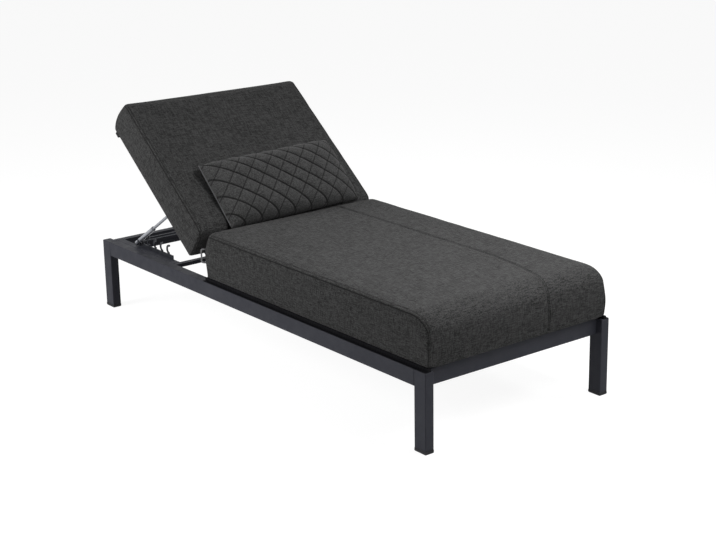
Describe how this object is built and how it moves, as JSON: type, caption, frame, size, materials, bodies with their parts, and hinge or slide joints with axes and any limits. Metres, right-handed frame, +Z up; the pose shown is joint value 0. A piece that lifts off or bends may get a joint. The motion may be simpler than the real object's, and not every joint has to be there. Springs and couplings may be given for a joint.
{
  "type": "adjustable lounger",
  "caption": "Low cushioned lounger on a metal frame, with a backrest that tilts on a prop stay in notched racks and a loose quilted pillow.",
  "frame": {"origin": "on the floor under the middle of the frame", "axes": "+Z up, +Y towards the head end, +X towards the left hand of a person who lies on it"},
  "size_m": [0.82, 2, 0.8545],
  "materials": {
    "frame_coating": "satin powder coat",
    "bright_metal": "satin",
    "stay_metal": "satin",
    "black_plastic": "matte",
    "charcoal_fabric": "fine woven upholstery",
    "webbing": "woven webbing",
    "quilted_fabric": "fine woven upholstery, quilted"
  },
  "bodies": {
    "frame": {"leg_foot_left": "frame_coating", "leg_foot_right": "frame_coating", "leg_head_left": "frame_coating", "leg_head_right": "frame_coating", "leg_glides": "black_plastic", "side_rail_left": "frame_coating", "side_rail_right": "frame_coating", "foot_rail": "frame_coating", "head_rail": "frame_coating", "cross_bar": "frame_coating", "rack_carrier_left": "frame_coating", "rack_carrier_right": "frame_coating", "rack_left": "bright_metal", "rack_right": "bright_metal", "rack_screws": "bright_metal", "hinge_bar": "frame_coating", "hinge_lugs_left": "frame_coating", "hinge_lugs_right": "frame_coating", "hinge_bolts": "bright_metal", "hinge_nuts": "bright_metal", "seat_slat_1": "frame_coating", "seat_slat_2": "frame_coating", "seat_slat_3": "frame_coating", "seat_slat_4": "frame_coating", "seat_slat_5": "frame_coating", "seat_slat_6": "frame_coating", "seat_slat_7": "frame_coating", "slat_screws": "bright_metal", "slat_strip_left": "black_plastic", "slat_strip_right": "black_plastic", "seat_cushion": "charcoal_fabric"},
    "backrest": {"back_tube_left": "frame_coating", "back_tube_right": "frame_coating", "back_head_tube": "frame_coating", "back_foot_tube": "frame_coating", "back_slat_1": "frame_coating", "back_slat_2": "frame_coating", "back_slat_3": "frame_coating", "back_slat_4": "frame_coating", "back_slat_5": "frame_coating", "back_tube_caps": "black_plastic", "hinge_bushes": "black_plastic", "stay_bolts": "bright_metal", "stay_spacers": "bright_metal", "stay_nuts": "bright_metal"},
    "stay": {"stay_leg_left": "stay_metal", "stay_leg_right": "stay_metal", "stay_sleeve_left": "stay_metal", "stay_sleeve_right": "stay_metal", "stay_cross_rod": "stay_metal", "stay_plugs": "black_plastic"},
    "back_cushion": {"back_cushion": "charcoal_fabric", "back_cushion_tabs": "webbing"},
    "pillow": {"pillow": "quilted_fabric"}
  },
  "joints": [
    {"name": "backrest_tilt", "type": "hinge", "parent": "frame", "child": "backrest", "pos_m": [0, 0.302, 0.284], "axis": [1, 0, 0], "range_deg": [0, 27]},
    {"name": "stay_swing", "type": "hinge", "parent": "backrest", "child": "stay", "pos_m": [0, 0.54779, 0.47192], "axis": [1, 0, 0], "range_deg": [-32.5, 0]},
    {"name": "back_cushion_ride", "type": "slide", "parent": "backrest", "child": "back_cushion", "axis": [0, 0.7944, 0.6074], "range_m": [0, 0.0735]},
    {"name": "pillow_lift", "type": "slide", "parent": "back_cushion", "child": "pillow", "axis": [0, 0.7266, 0.6871], "range_m": [0, 0.25]}
  ],
  "couplings": [
    {"joint": "stay_swing", "follows": "backrest_tilt", "ratio": -1.2},
    {"joint": "back_cushion_ride", "follows": "backrest_tilt", "m_per_rad": 0.155}
  ]
}
